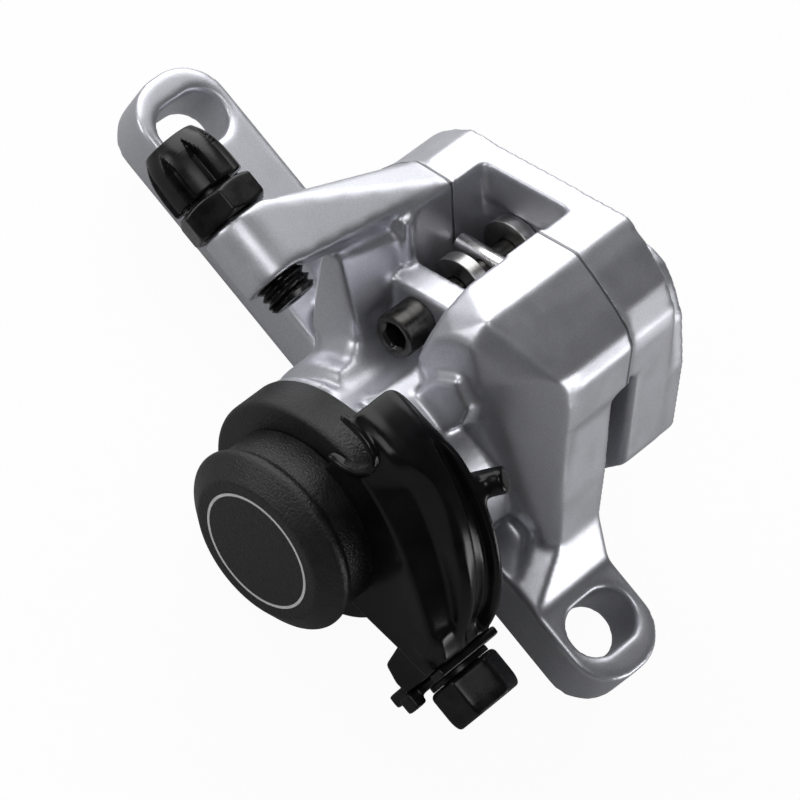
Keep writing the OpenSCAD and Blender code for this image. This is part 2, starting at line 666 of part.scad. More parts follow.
caliper_body();
dust_cover();
fixed_ramp();
ramp_retainer();
ball_cage();
ramp_balls();
ramp_spindle();
spindle_seal();
thrust_washer();
plunger();
plunger_seal();
return_spring();
arm();
arm_washer();
arm_nut();
cap();
clamp_plate();
clamp_bolt();
clamp_washer();
outer_pad_plate();
outer_lining();
inner_pad_plate();
inner_lining();
pad_spring();
pad_axle();
axle_clip();
inner_adjuster();
adjuster_ring();
barrel_adjuster();
barrel_lock_nut();
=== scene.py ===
import bpy
import bmesh
import json
import math
import numpy as np
from mathutils import Matrix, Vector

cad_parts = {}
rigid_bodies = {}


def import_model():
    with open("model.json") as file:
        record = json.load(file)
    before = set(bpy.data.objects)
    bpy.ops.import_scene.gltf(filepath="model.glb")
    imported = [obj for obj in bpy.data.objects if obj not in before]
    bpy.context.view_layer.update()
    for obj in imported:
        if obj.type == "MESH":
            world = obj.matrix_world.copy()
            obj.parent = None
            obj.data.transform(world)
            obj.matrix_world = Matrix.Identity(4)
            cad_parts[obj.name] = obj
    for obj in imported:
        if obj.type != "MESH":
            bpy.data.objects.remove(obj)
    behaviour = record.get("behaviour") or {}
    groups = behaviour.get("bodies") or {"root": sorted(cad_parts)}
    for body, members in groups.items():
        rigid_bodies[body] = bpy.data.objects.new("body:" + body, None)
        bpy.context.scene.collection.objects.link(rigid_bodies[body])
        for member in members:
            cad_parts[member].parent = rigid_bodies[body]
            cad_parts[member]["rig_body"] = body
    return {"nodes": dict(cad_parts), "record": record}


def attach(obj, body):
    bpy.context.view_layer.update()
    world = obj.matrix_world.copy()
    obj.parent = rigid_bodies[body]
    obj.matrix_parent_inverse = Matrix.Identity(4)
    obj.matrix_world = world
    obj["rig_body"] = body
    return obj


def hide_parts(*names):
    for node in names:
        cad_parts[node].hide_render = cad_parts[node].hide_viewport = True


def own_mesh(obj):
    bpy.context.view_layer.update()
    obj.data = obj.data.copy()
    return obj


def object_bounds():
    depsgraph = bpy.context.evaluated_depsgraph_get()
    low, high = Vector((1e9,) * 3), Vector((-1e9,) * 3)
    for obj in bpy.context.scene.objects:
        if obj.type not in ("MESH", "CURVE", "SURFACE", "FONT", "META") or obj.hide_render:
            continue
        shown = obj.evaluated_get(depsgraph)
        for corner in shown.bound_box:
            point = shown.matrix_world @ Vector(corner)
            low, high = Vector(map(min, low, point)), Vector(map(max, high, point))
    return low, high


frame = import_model()
nodes = frame["nodes"]
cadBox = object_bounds()
mm = 0.001


# Where the shared axes and joints of the caliper lie, in millimetres
place = dict(
    pivot=(6.8, 8.9),        # x and z of the pad axis, which runs along y
    padLean=31.8,            # lean of the pads about y, degrees
    axleUp=16.7,             # pad axle from the pad axis
    barrelLine=(-17.0, 27.0),  # y and z of the cable line, which runs along x
    barrelEnd=-22.4,         # outer end of the adjuster boss
    clampFace=22.8,          # clamp face from the pivot, along x
    clampDrop=4.6,           # clamp bolt below the pivot
)


# Materials
# Every finish is a Principled shader whose grain is noise on Object coordinates
grain = dict(
    fine=(3, 0.6),        # detail and roughness of the fine noise
    broad=(4, 0.55),      # and of the broad noise
    tint=(0.35, 0.65),    # share of the noise that goes from the dark to the light colour
    cloud=(0.3, 0.7),     # share of the broad noise that goes from the low to the high roughness
)


# Output a feeds input b
def link(tree, a, b):
    tree.links.new(a, b)


# Noise with its cells counted per millimetre
def noiseOf(tree, coords, perMm, detail, rough):
    node = tree.nodes.new("ShaderNodeTexNoise")
    node.inputs["Scale"].default_value = perMm / mm
    node.inputs["Detail"].default_value = detail
    node.inputs["Roughness"].default_value = rough
    link(tree, coords, node.inputs["Vector"])
    return node.outputs["Fac"]


# out = low + (high - low) * clamp((value - fromLow) / (fromHigh - fromLow))
def spread(tree, value, fromLow, fromHigh, low, high):
    node = tree.nodes.new("ShaderNodeMapRange")
    for name, v in (("From Min", fromLow), ("From Max", fromHigh), ("To Min", low), ("To Max", high)):
        node.inputs[name].default_value = v
    link(tree, value, node.inputs["Value"])
    return node.outputs["Result"]


# One step of arithmetic on a, with b where the operation takes two
def mathOf(tree, operation, a, b=None):
    node = tree.nodes.new("ShaderNodeMath")
    node.operation = operation
    link(tree, a, node.inputs[0])
    if isinstance(b, float):
        node.inputs[1].default_value = b
    elif b is not None:
        link(tree, b, node.inputs[1])
    return node.outputs[0]


# Colour a where the factor is 0 and colour b where it is 1
def mixOf(tree, factor, a, b):
    node = tree.nodes.new("ShaderNodeMix")
    node.data_type = "RGBA"
    for name, colour in (("A", a), ("B", b)):
        if isinstance(colour, tuple):
            node.inputs[name].default_value = (*colour, 1)
        else:
            link(tree, colour, node.inputs[name])
    link(tree, factor, node.inputs["Factor"])
    return node.outputs["Result"]


# The line where the two halves of the body meet: 0 on the plane at y, 1 past the groove's half width,
# and 1 below the given height, where the halves are apart. The groove's darker colour is painted shade, with
# some dirt
def seamGrooveAndShadeOn(tree, coords, paint, bump, seam):
    parts = tree.nodes.new("ShaderNodeSeparateXYZ")
    link(tree, coords, parts.inputs["Vector"])
    away = mathOf(tree, "ABSOLUTE", mathOf(tree, "SUBTRACT", parts.outputs["Y"], seam["y"] * mm))
    line = spread(tree, away, seam["core"] * mm, seam["half"] * mm, 0, 1)
    below = spread(tree, parts.outputs["Z"], seam["fade"] * mm, seam["above"] * mm, 1, 0)
    outside = mathOf(tree, "MAXIMUM", line, below)
    groove = tree.nodes.new("ShaderNodeBump")
    groove.inputs["Distance"].default_value = seam["deep"] * mm
    link(tree, outside, groove.inputs["Height"])
    link(tree, groove.outputs["Normal"], bump.inputs["Normal"])
    # the darker seam colour in the groove is painted shade, with some dirt
    return mixOf(tree, outside, seam["colour"], paint)


# Colour = dark to light along the noise, roughness = its range along the broad noise, bump = the fine noise
def finish(name, spec):
    mat = bpy.data.materials.new(name)
    mat.use_nodes = True
    tree = mat.node_tree
    shader = tree.nodes["Principled BSDF"]
    shader.inputs["Metallic"].default_value = spec["metallic"]
    shader.inputs["Specular IOR Level"].default_value = spec.get("sheen", 0.5)
    coords = tree.nodes.new("ShaderNodeTexCoord").outputs["Object"]
    if "stretch" in spec:
        mapping = tree.nodes.new("ShaderNodeMapping")
        mapping.inputs["Scale"].default_value = spec["stretch"]
        link(tree, coords, mapping.inputs["Vector"])
        coords = mapping.outputs["Vector"]
    fine = noiseOf(tree, coords, spec["grainPerMm"], *grain["fine"])
    broad = noiseOf(tree, coords, spec["cloudPerMm"], *grain["broad"])
    tint = spread(tree, fine if spec.get("speckled") else broad, *grain["tint"], 0, 1)
    paint = mixOf(tree, tint, spec["dark"], spec["light"])
    link(tree, spread(tree, broad, *grain["cloud"], *spec["rough"]), shader.inputs["Roughness"])
    bump = tree.nodes.new("ShaderNodeBump")
    bump.inputs["Strength"].default_value = spec["bump"]
    bump.inputs["Distance"].default_value = spec["bumpMm"] * mm
    link(tree, fine, bump.inputs["Height"])
    if "seam" in spec:
        paint = seamGrooveAndShadeOn(tree, coords, paint, bump, spec["seam"])
    link(tree, paint, shader.inputs["Base Color"])
    link(tree, bump.outputs["Normal"], shader.inputs["Normal"])
    return mat


finishes = dict(
    cast_aluminium=dict(metallic=0.85, dark=(0.518, 0.522, 0.565), light=(0.625, 0.63, 0.675), speckled=True,
                        rough=(0.36, 0.44), grainPerMm=6, cloudPerMm=0.25, bump=0.16, bumpMm=0.02,
                        # the seam's darker colour is painted shade in the groove, with some dirt
                        seam=dict(y=7.6, core=0.078, half=0.26, deep=0.2, fade=14.5, above=15,
                                  colour=(0.2, 0.2, 0.21))),
    gloss_black=dict(metallic=0, dark=(0.003, 0.003, 0.0035), light=(0.006, 0.006, 0.007), rough=(0.2, 0.28),
                     sheen=0.24, grainPerMm=1.2, cloudPerMm=0.3, bump=0.05, bumpMm=0.02),
    black_plastic=dict(metallic=0, dark=(0.005, 0.005, 0.0055), light=(0.01, 0.01, 0.0105),
                       rough=(0.36, 0.46), sheen=0.45, grainPerMm=3.2, cloudPerMm=0.4, bump=1.0, bumpMm=0.12),
    black_alloy=dict(metallic=0.1, dark=(0.004, 0.004, 0.0045), light=(0.011, 0.011, 0.012),
                     rough=(0.22, 0.34), sheen=0.34, grainPerMm=3, cloudPerMm=0.5, bump=0.15, bumpMm=0.02),
    dark_steel=dict(metallic=0.9, dark=(0.03, 0.029, 0.028), light=(0.075, 0.072, 0.069), rough=(0.25, 0.4),
                    grainPerMm=4, cloudPerMm=0.6, bump=0.15, bumpMm=0.01),
    steel=dict(metallic=1, dark=(0.36, 0.355, 0.35), light=(0.5, 0.495, 0.49), rough=(0.26, 0.4),
               grainPerMm=3, cloudPerMm=0.5, bump=0.12, bumpMm=0.01, stretch=(1, 4, 1)),
    spring_steel=dict(metallic=1, dark=(0.55, 0.54, 0.53), light=(0.72, 0.71, 0.7), rough=(0.18, 0.28),
                      grainPerMm=4, cloudPerMm=0.6, bump=0.08, bumpMm=0.01, stretch=(0.4, 3, 3)),
    bearing_steel=dict(metallic=1, dark=(0.55, 0.55, 0.56), light=(0.66, 0.66, 0.67), rough=(0.08, 0.14),
                       grainPerMm=3, cloudPerMm=0.8, bump=0.04, bumpMm=0.005),
    brass=dict(metallic=1, dark=(0.52, 0.36, 0.13), light=(0.68, 0.5, 0.2), rough=(0.28, 0.4),
               grainPerMm=3, cloudPerMm=0.5, bump=0.1, bumpMm=0.01),
    rubber=dict(metallic=0, dark=(0.01, 0.01, 0.01), light=(0.02, 0.02, 0.02), rough=(0.6, 0.75),
                grainPerMm=3, cloudPerMm=0.5, bump=0.3, bumpMm=0.02),
    friction=dict(metallic=0.1, dark=(0.02, 0.018, 0.016), light=(0.12, 0.1, 0.08), speckled=True,
                  rough=(0.7, 0.9), grainPerMm=1.8, cloudPerMm=0.5, bump=0.6, bumpMm=0.08),
)
looks = {name: finish(name, spec) for name, spec in finishes.items()}
slotOf = {row["node"]: row["material_slot"] for row in frame["record"]["subparts"]}
print("stage: finishes made", len(looks))


# Mesh helpers
# A mesh, lamp or camera as an object of the scene, at the origin
def linked(name, data):
    obj = bpy.data.objects.new(name, data)
    bpy.context.scene.collection.objects.link(obj)
    return obj


# Finish, smooth shading, body and slot of a piece
def settle(obj, slotName, body):
    obj.data.materials.clear()
    obj.data.materials.append(looks[slotName])
    obj.data.polygons.foreach_set("use_smooth", [True] * len(obj.data.polygons))
    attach(obj, body)
    return obj


# A mesh from arrays of points in metres and of their numbers in each face
def meshOf(name, verts, faces):
    mesh = bpy.data.meshes.new(name)
    mesh.from_pydata(np.asarray(verts, float).tolist(), [], np.asarray(faces).tolist())
    mesh.validate()
    return mesh


# Points nearer than the gap in metres are merged and all faces turned outward
def tidied(mesh, gap):
    work = bmesh.new()
    work.from_mesh(mesh)
    bmesh.ops.remove_doubles(work, verts=work.verts, dist=gap)
    bmesh.ops.recalc_face_normals(work, faces=work.faces)
    work.to_mesh(mesh)
    work.free()


# The moving body that a CAD node rides
def bodyOf(node):
    return nodes[node]["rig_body"]


# A copy of a CAD node whose loose triangles are merged
def mergedCopy(node, name):
    mesh = nodes[node].data.copy()
    tidied(mesh, 2e-6)
    mesh.name = name
    if "custom_normal" in mesh.attributes:
        mesh.attributes.remove(mesh.attributes["custom_normal"])
    return linked(name, mesh)


edgeRound = dict(flatDegrees=1.5, sharpDegrees=32, segments=2)


# A merged copy whose flat regions are one face each and whose edges are rounded by a radius in millimetres
def refined(node, radius):
    obj = mergedCopy(node, node + "Piece")
    work = bmesh.new()
    work.from_mesh(obj.data)
    bmesh.ops.dissolve_limit(work, angle_limit=math.radians(edgeRound["flatDegrees"]), verts=work.verts,
                             edges=work.edges, delimit={"NORMAL"})
    work.to_mesh(obj.data)
    work.free()
    bevel = obj.modifiers.new("bevel", "BEVEL")
    bevel.width = radius * mm
    bevel.segments = edgeRound["segments"]
    bevel.limit_method = "ANGLE"
    bevel.angle_limit = math.radians(edgeRound["sharpDegrees"])
    bevel.harden_normals = True
    settle(obj, slotOf[node], bodyOf(node))
    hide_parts(node)
    return obj


# p += w * (mean of neighbours - p), where w differs in hollows and on edges:
# hollows fill as fillets for many passes and edges round for a few
def castFlow(co, quads, passes, roundPasses, fill, ease, mask):
    n = len(co)
    a = quads.reshape(-1)
    b = np.roll(quads, -1, axis=1).reshape(-1)
    count = np.bincount(a, minlength=n) + np.bincount(b, minlength=n)
    for i in range(passes):
        diag = np.cross(co[quads[:, 2]] - co[quads[:, 0]], co[quads[:, 3]] - co[quads[:, 1]])
        normal = np.empty((n, 3))
        mean = np.empty((n, 3))
        for k in range(3):
            normal[:, k] = np.bincount(a, np.repeat(diag[:, k], 4), n)
            mean[:, k] = (np.bincount(a, co[b, k], n) + np.bincount(b, co[a, k], n)) / count
        normal /= np.linalg.norm(normal, axis=1)[:, None] + 1e-12
        step = mean - co
        hollow = (step * normal).sum(1) > 0
        w = np.where(hollow, fill * mask, ease if i < roundPasses else 0.0)
        co = co + step * w[:, None]  # a flat area stays put, since its mean lies in its own plane
    return co


# A merged copy given a skin of cells, which is evened out and then gets cast fillets and rounded edges
def castSkin(node, name, cast, maskOf):
    source = mergedCopy(node, name + "Source")
    remesh = source.modifiers.new("remesh", "REMESH")
    remesh.mode = "VOXEL"
    remesh.voxel_size = cast["cell"] * mm
    remesh.adaptivity = 0
    seen = source.evaluated_get(bpy.context.evaluated_depsgraph_get())
    mesh = bpy.data.meshes.new_from_object(seen)
    bpy.data.objects.remove(source)
    n = len(mesh.vertices)
    co = np.empty(n * 3)
    mesh.vertices.foreach_get("co", co)
    co = co.reshape(-1, 3)
    quads = np.empty(len(mesh.loops), np.int64)
    mesh.loops.foreach_get("vertex_index", quads)
    quads = quads.reshape(-1, 4)
    even = cast["evenPasses"]
    co = castFlow(co, quads, even, even, cast["evenShare"], cast["evenShare"], np.ones(n))
    co = castFlow(co, quads, cast["passes"], cast["roundPasses"], cast["fill"], cast["ease"], maskOf(co / mm))
    mesh.vertices.foreach_set("co", co.reshape(-1).astype(np.float32))
    mesh.update()
    mesh.name = name
    obj = settle(linked(name, mesh), slotOf[node], bodyOf(node))
    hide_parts(node)
    print("stage:", name, len(mesh.polygons), "cells")


# A corner (r, h, size) of an outline becomes an arc by the curve (1-t)^2 a + 2t(1-t) b + t^2 c
def rounded(points, steps=5):
    t = np.linspace(0, 1, steps + 1)[:, None]
    corners = [np.array(p[:2], float) for p in points]
    out = []
    for i, (p, spec) in enumerate(zip(corners, points)):
        size = spec[2] if len(spec) > 2 else 0
        if not size:
            out.append(p[None, :])
            continue
        before, after = corners[i - 1] - p, corners[(i + 1) % len(corners)] - p
        la, lb = np.linalg.norm(before), np.linalg.norm(after)
        a, c = p + before / la * min(size, la * 0.49), p + after / lb * min(size, lb * 0.49)
        out.append((1 - t) ** 2 * a + 2 * t * (1 - t) * p + t * t * c)
    return np.concatenate(out)


# Points (r, h) turned about an axis: x = r cos(u), z = r sin(u), y = h, for u in equal steps.
# shape(r, h, u) gives the radius where the piece isn't round
def turned(profile, steps, shape):
    prof = np.asarray(profile, float)
    u = np.linspace(0, 2 * np.pi, steps, endpoint=False)
    r = np.repeat(prof[:, 0][:, None], steps, 1)
    h = np.repeat(prof[:, 1][:, None], steps, 1)
    if shape is not None:
        r = shape(r, h, np.repeat(u[None, :], len(prof), 0))
    verts = np.stack([r * np.cos(u), h, r * np.sin(u)], -1).reshape(-1, 3)
    m = len(prof)
    i, j = np.meshgrid(np.arange(m), np.arange(steps), indexing="ij")
    k, l = (i + 1) % m, (j + 1) % steps
    faces = np.stack([i * steps + j, k * steps + j, k * steps + l, i * steps + l], -1).reshape(-1, 4)
    return verts, faces


# The turned outline closes on itself; points on the axis merge, and edges over sharpDeg stay sharp
def lathe(name, profile, slotName, body, toRow, steps=160, shape=None, sharpDeg=50):
    verts, faces = turned(profile, steps, shape)
    mesh = meshOf(name, toRow(verts) * mm, faces)
    tidied(mesh, 1e-6)
    obj = settle(linked(name, mesh), slotName, body)
    mesh.set_sharp_from_angle(angle=math.radians(sharpDeg))
    return obj


# Radius of a hexagon with eased corners: apothem / (sum of cos(u - a)^p)^(1/p) over its six sides
def hexRadius(u, apothem, p, turn):
    total = 0
    for k in range(6):
        total = total + np.clip(np.cos(u - turn - k * np.pi / 3), 0, None) ** p
    return apothem / total ** (1 / p)


# The smaller of two radii, eased where they cross: (a^-p + b^-p)^(-1/p)
def easedMin(a, b, p):
    return (a ** -p + b ** -p) ** (-1 / p)


# Points of an outline with extra points so that no step is longer than the given one: a + (b - a) k / n
def dense(points, step):
    out = []
    for a, b in zip(points, np.roll(points, -1, axis=0)):
        n = max(1, int(math.ceil(np.linalg.norm(b - a) / step)))
        out.append(a + (b - a) * np.arange(n)[:, None] / n)
    return np.concatenate(out)


# Local (x, y, z) of a piece turned about the pad axis to the row frame
def atPivot(v):
    return np.asarray(v) + np.array([place["pivot"][0], 0, place["pivot"][1]])


# Local y becomes the cable line's own direction, towards -x, from the boss's outer end
def atBarrel(v):
    v = np.asarray(v)
    y, z = place["barrelLine"]
    return np.stack([place["barrelEnd"] - v[:, 1], y + v[:, 0], z + v[:, 2]], 1)


# Local y leaves the clamp face along +x, from the bolt's axis on that face
def atClamp(v):
    v = np.asarray(v)
    x, z = place["pivot"]
    return np.stack([x + place["clampFace"] + v[:, 1], place["barrelLine"][0] + v[:, 0],
                     z - place["clampDrop"] - v[:, 2]], 1)


# Body
bodyCast = dict(
    cell=0.41, evenPasses=2, evenShare=0.5, passes=8, roundPasses=4, fill=0.5, ease=0.3,
    machined=0.08,                               # share of the fillets that machined places get
    pocketY=(2.2, 14.2), pocketHalf=12.2, pocketTop=22,
    slotY=(6.2, 10.2), slotTop=12,
    seatR=14.4, seatY=-11.5, boreR=12.2, boreY=-2,
    axleHalf=5, axleUp=(12, 24), axleY=(-8, 0.6), axleShare=0.15,
)


# Machined places keep their edges: the mask is low near them, so their hollows stay sharp
def bodyMask(p):
    b = bodyCast
    x, y, z = p.T
    px, pz = place["pivot"]
    lean = math.radians(place["padLean"])
    across = (x - px) * math.cos(lean) + (z - pz) * math.sin(lean)
    up = -(x - px) * math.sin(lean) + (z - pz) * math.cos(lean)
    radius = np.hypot(x - px, z - pz)
    keep = np.ones(len(p))
    pocket = (y > b["pocketY"][0]) & (y < b["pocketY"][1]) & (np.abs(across) < b["pocketHalf"])
    keep[pocket & (up < b["pocketTop"])] = b["machined"]
    keep[(y > b["slotY"][0]) & (y < b["slotY"][1]) & (up < b["slotTop"])] = b["machined"]
    keep[(radius < b["seatR"]) & (y < b["seatY"])] = b["machined"]
    keep[(radius < b["boreR"]) & (y < b["boreY"])] = b["machined"]
    axle = (np.abs(across) < b["axleHalf"]) & (up > b["axleUp"][0]) & (up < b["axleUp"][1])
    keep[axle & (y > b["axleY"][0]) & (y < b["axleY"][1])] = b["axleShare"]
    return keep


castSkin("caliper_body", "castBody", bodyCast, bodyMask)


# Arm, from a field of distances: less than 0 inside, with its skin where the field is 0.
# Lengths are millimetres from the pivot, angles are degrees about it, from +x towards +z
armShape = dict(
    lo=(-8.6, -24.4, -9.4), hi=(24.2, -9.8, 23.6), cell=0.18, slabs=6,
    start=102, end=4,                                      # from the hood's far side to the clamp
    rimR=20.7, growth=2.3, growthPower=1.5,                # the rim grows towards the clamp
    faceY=-23.3, wall=1.0, cableY=-17.0, groove=1.5, coverR=14.2, endX=22.8,
    ridgeIn=2.2, ridgeOut=1.2, ridgeSwell=0.7, ridgeFrom=87, ridgeSpan=42, ridgePower=3.6,
    hoodFrom=70, hoodTo=86, edgeFrom=42, edgeTo=68, hoodGroove=0.94,
    grooveLow=-1.9, grooveHigh=0.7, grooveFall=0.045, grooveFrom=71,
    cornerR=2.3, cornerFrom=60, cornerTop=2.4, rimPerDegree=0.361,
    fall=0.26, fallFrom=68, fallTo=88,                     # the hood's top falls towards the back
    mouth=[(-12, 18.3), (-3.9, 18.6), (-2.2, 19.0), (-0.6, 19.2), (0.5, 18.9), (1.2, 18.0), (1.2, 17.2),
           (0.6, 16.0), (-0.2, 15.0), (-1.1, 14.2), (-2.2, 13.8), (-12, 13.8)],
    mouthY=-19, tunnel=[(-12, -18.9, 16.7), (0.2, -18.9, 16.6)], tunnelR=2.3,
    bead=[(-4.6, -22.3, 18.9), (-3.4, -22.3, 19.2), (-2.0, -22.3, 19.45), (-0.6, -22.4, 19.5),
          (0.6, -22.6, 19.25), (1.35, -22.9, 18.5), (1.6, -23.1, 17.5), (1.3, -23.2, 16.3),
          (0.8, -23.2, 15.4), (0.1, -23.2, 14.5), (-0.8, -23.2, 13.8), (-1.6, -23.2, 13.4),
          (-2.4, -23.2, 13.2)],
    beadR=0.46, beadLo=(-6, -24.3, 12), beadHi=(3.4, -20.5, 22.5),
    nubAngle=60, nubR=1.6, nubFrom=(19.0, -14.2), nubTo=(23.05, -11.75),
    plate=[(11.5, -3.4), (18.3, -1.8), (20.3, -1.6), (22.8, -1), (22.8, 1.5), (20.7, 1.5), (20.4, 3.6),
           (19.2, 5.5), (16.8, 7.5), (14.3, 9.4), (11.7, 11.1), (10, 8)],
    cut=[(-30, -30), (30, -30), (18.3, -1.8), (11.5, -3.4), (-2.2, -3.4), (-2.2, 30), (-30, 30)],
    plateOut=0.9,
    hubR=6.8, stepR=6.2, stepY=-22.25, stepHalf=0.2, boreR=3.1,
    blockFront=[(17.9, -2.6), (18.6, -7.3), (21, -8.2), (22.8, -7.8), (22.8, 3.4), (20.4, 6)],
    blockBack=[(19, -4), (19.4, -8), (21, -8.2), (22.8, -7.8), (22.8, 1.6), (20.4, 2)],
    blockFrom=-20, blockSpan=5, blockMid=-18.4, blockHalf=4.25,
    seatZ=1.85, threadR=2.6, threadX=16.6,                 # the clamp's seat and its threaded hole
    blend=dict(block=1.1, plate=0.25, nub=1.3, mouth=0.6, bead=0.35),
)


# 3t^2 - 2t^3 between two values
def eased(x, low, high):
    t = np.clip((x - low) / (high - low), 0, 1)
    return t * t * (3 - 2 * t)


# The smaller of two fields, blended over the width k
def blendMin(a, b, k):
    h = np.clip(0.5 + 0.5 * (b - a) / k, 0, 1)
    return b + (a - b) * h - k * h * (1 - h)


# Distance from (u, v) to an outline whose corners may be arrays, less than 0 inside
def inOutline(u, v, corners):
    best = np.full(u.shape, 1e9, np.float32)
    inside = np.zeros(u.shape, bool)
    for (au, av), (bu, bv) in zip(corners, corners[1:] + corners[:1]):
        eu, ev = bu - au, bv - av
        wu, wv = u - au, v - av
        t = np.clip((wu * eu + wv * ev) / (eu * eu + ev * ev + 1e-9), 0, 1)
        best = np.minimum(best, (wu - eu * t) ** 2 + (wv - ev * t) ** 2)
        across = (av > v) != (bv > v)
        inside ^= across & (u < eu * (v - av) / np.where(np.abs(ev) < 1e-9, 1e-9, ev) + au)
    return np.where(inside, -1, 1) * np.sqrt(best)


# Distance to a line between two points less the radius
def capsule(x, y, z, a, b, radius):
    a, b = np.array(a, float), np.array(b, float)
    d = b - a
    t = np.clip(((x - a[0]) * d[0] + (y - a[1]) * d[1] + (z - a[2]) * d[2]) / (d @ d), 0, 1)
    return np.sqrt((x - a[0] - d[0] * t) ** 2 + (y - a[1] - d[1] * t) ** 2
                   + (z - a[2] - d[2] * t) ** 2) - radius


# Corners of the lever's section in radius and y at an angle, as in the CAD: ridge, hood, groove and rim.
# hood goes from 0 to 1 where the hood starts, and a corner is hood * (place there) + low * (place before)
def armCorners(a):
    s = armShape
    span = (a - s["end"]) / (s["start"] - s["end"])
    r = s["rimR"] + s["growth"] * (1 - np.clip(span, 0, 1) ** s["growthPower"])
    swell = s["ridgeSwell"] * (np.clip(s["ridgeFrom"] - a, 0, None) / s["ridgeSpan"]) ** s["ridgePower"]
    ridge = np.minimum(r - s["ridgeIn"], s["coverR"] + s["ridgeOut"] + swell)
    hood = eased(a, s["hoodFrom"], s["hoodTo"])
    low = 1 - hood
    edge = low * eased(a, s["edgeFrom"], s["edgeTo"])
    deep = (1 - s["hoodGroove"] * hood) * s["groove"]
    cable, y, back = s["cableY"], s["faceY"], s["faceY"] + s["wall"]
    sink = s["grooveFall"] * np.clip(s["grooveFrom"] - a, 0, None)
    top = cable + np.maximum(s["grooveLow"], s["grooveHigh"] - sink)
    return [(ridge - 1.6, back), (ridge - 1.8, y + 0.1), (ridge, y), (ridge + 0.5, y + 0.3),
            (hood * (r - 0.9) + low * (0.6 * ridge + 0.4 * r), y + 1.3 + low * 1.5),
            (hood * (r - 0.3) + low * (r - 1.2) + edge * 0.5, cable - 4 + low * 0.6 + edge),
            (r - 0.4 + edge * 0.2, cable - 2.5 + edge * 0.4), (r - 0.2 - 0.2 * deep, top - 0.4),
            (r - 0.2 - deep, top), (r - 0.2 - deep, cable + 1.2), (r - 0.1 - 0.1 * deep, cable + 1.6),
            (r, cable + 2.4), (r - 1.2, cable + 2.6), (r - 2.6, cable + 2.4), (r - 2.8, cable - 1.8),
            (hood * (r - 2.9) + low * (0.5 * ridge + 0.5 * r - 1), back + 1.2 + low * 1.4)], r


# The whole lever: min joins two solids, max(a, -b) cuts b out of a, and blendMin joins with a fillet
def armField(x, y, z):
    s = armShape
    blend = s["blend"]
    a = np.degrees(np.arctan2(z, x))
    r = np.hypot(x, z)
    corners, rim = armCorners(np.clip(a, s["end"], s["start"]))
    field = inOutline(r, y, corners)
    field = np.maximum(field, np.maximum(s["end"] - a, a - s["start"]) * r * np.pi / 180)
    # the far corner of the hood is an arc, and its top falls away towards the back
    past = (a - s["start"]) * s["rimPerDegree"]
    soft = s["cornerR"]
    corner = np.hypot(np.clip(past + soft, 0, None),
                      np.clip(y - (s["cableY"] + s["cornerTop"] - soft), 0, None)) - soft
    field = np.maximum(field, np.where(a > s["cornerFrom"], corner, -9))
    fall = s["fall"] * np.clip(y - s["cableY"], 0, None) ** 2 * eased(a, s["fallFrom"], s["fallTo"])
    field = np.maximum(field, r - rim + fall)
    # the clamp's block, whose outline goes from its front to its back along y
    t = np.clip((y - s["blockFrom"]) / s["blockSpan"], 0, 1)
    block = [((1 - t) * p[0] + t * q[0], (1 - t) * p[1] + t * q[1])
             for p, q in zip(s["blockFront"], s["blockBack"])]
    block = np.maximum(inOutline(x, z, block), np.abs(y - s["blockMid"]) - s["blockHalf"])
    field = blendMin(field, block, blend["block"])
    # the flat plate round the hub, with a low step on its back
    half = s["wall"] / 2
    plate = np.minimum(r - s["coverR"] - s["plateOut"], inOutline(x, z, s["plate"]))
    plate = np.minimum(np.maximum(plate, -inOutline(x, z, s["cut"])), r - s["hubR"])
    plate = np.maximum(plate, np.abs(y - s["faceY"] - half) - half)
    field = blendMin(field, plate, blend["plate"])
    field = np.minimum(field, np.maximum(r - s["stepR"], np.abs(y - s["stepY"]) - s["stepHalf"]))
    # a round stub with a flat end, blended onto the rim
    u = math.radians(s["nubAngle"])
    ends = [np.array([q[0] * math.cos(u), q[1], q[0] * math.sin(u)]) for q in (s["nubFrom"], s["nubTo"])]
    d = (ends[1] - ends[0]) / np.linalg.norm(ends[1] - ends[0])
    flat = (x - ends[1][0]) * d[0] + (y - ends[1][1]) * d[1] + (z - ends[1][2]) * d[2]
    stub = np.maximum(capsule(x, y, z, ends[0], ends[1] + d, s["nubR"]), flat)
    field = blendMin(field, stub, blend["nub"])
    # hollows: the hood's tunnel and its mouth, the spindle hole, the clamp's seat and its thread
    tunnel = capsule(x, y, z, *s["tunnel"], s["tunnelR"])
    mouth = np.maximum(inOutline(x, z, s["mouth"]), y - s["mouthY"])
    field = np.maximum(field, -blendMin(tunnel, mouth, blend["mouth"]))
    field = np.maximum(field, s["boreR"] - r)
    field = np.maximum(field, -np.maximum(s["endX"] - x, z - s["seatZ"]))
    thread = np.hypot(y - s["cableY"], z + place["clampDrop"]) - s["threadR"]
    return np.maximum(field, -np.maximum(thread, s["threadX"] - x))


# The field softened by (1, 2, 1) / 4 along each axis
def softened(field, times):
    for _ in range(times):
        for axis in range(3):
            pad = np.pad(field, [(1, 1) if k == axis else (0, 0) for k in range(3)], mode="edge")
            cuts = [[slice(None)] * 3 for _ in range(3)]
            for k, c in enumerate(cuts):
                c[axis] = slice(k, k + field.shape[axis])
            field = 0.25 * pad[tuple(cuts[0])] + 0.5 * pad[tuple(cuts[1])] + 0.25 * pad[tuple(cuts[2])]
    return field


